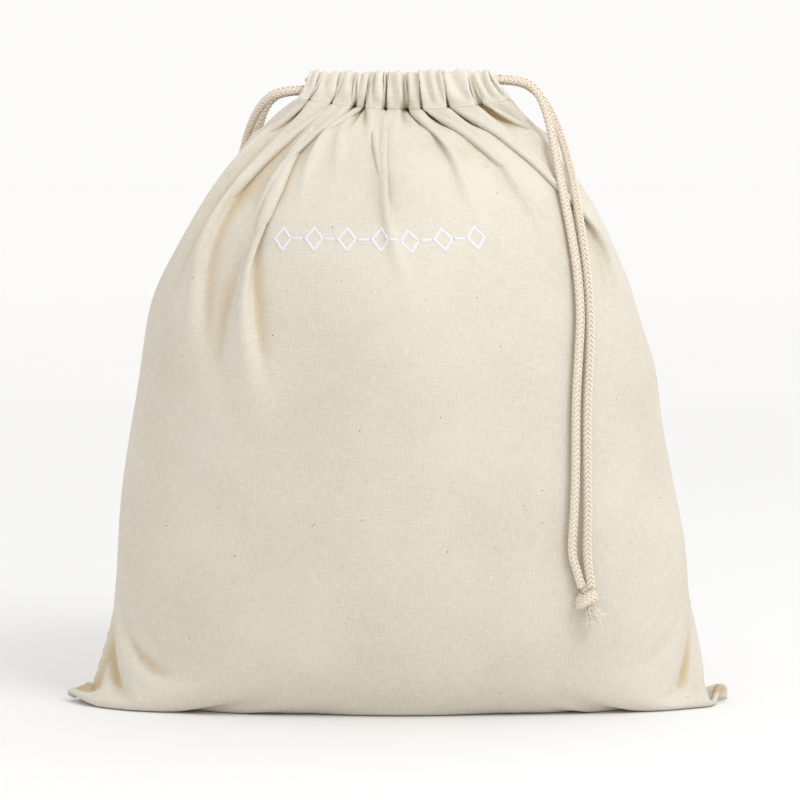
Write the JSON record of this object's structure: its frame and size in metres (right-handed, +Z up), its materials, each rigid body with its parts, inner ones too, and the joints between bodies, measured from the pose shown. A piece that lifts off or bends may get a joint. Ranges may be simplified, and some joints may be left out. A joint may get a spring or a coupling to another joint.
{
  "type": "laundry bag",
  "caption": "Filled cotton drawstring laundry bag that stands on its base, with a gathered mouth, a cord casing on each panel, a drawcord to each side and an embroidered band.",
  "frame": {"origin": "middle of the base, on the surface that the bag stands on", "axes": "+X across the bag to its right side as seen from the front, -Y towards the front panel with the embroidered band, +Z up to the gathered mouth"},
  "size_m": [0.425, 0.217, 0.405],
  "materials": {
    "fabric": "matte",
    "seam": "matte",
    "thread": "satin",
    "cord": "matte"
  },
  "bodies": {
    "bag": {"front_panel": "fabric", "back_panel": "fabric", "front_casing": "fabric", "back_casing": "fabric", "left_side_seam": "seam", "right_side_seam": "seam", "bottom_seam": "seam", "front_casing_stitching": "thread", "back_casing_stitching": "thread", "embroidered_motif": "thread", "right_cord_loop": "cord", "left_cord_loop": "cord"},
    "right_cord_end": {"right_front_draw_length": "cord", "right_back_draw_length": "cord", "right_front_hanging_cord": "cord", "right_back_hanging_cord": "cord", "right_knot": "cord", "right_frayed_ends": "cord"},
    "left_cord_end": {"left_front_draw_length": "cord", "left_back_draw_length": "cord", "left_front_hanging_cord": "cord", "left_back_hanging_cord": "cord", "left_knot": "cord", "left_frayed_ends": "cord"}
  },
  "joints": [
    {"name": "right_cord_draw", "type": "slide", "parent": "bag", "child": "right_cord_end", "axis": [1, 0, 0], "range_m": [0, 0.05]},
    {"name": "left_cord_draw", "type": "slide", "parent": "bag", "child": "left_cord_end", "axis": [-1, 0, 0], "range_m": [0, 0.05]}
  ]
}
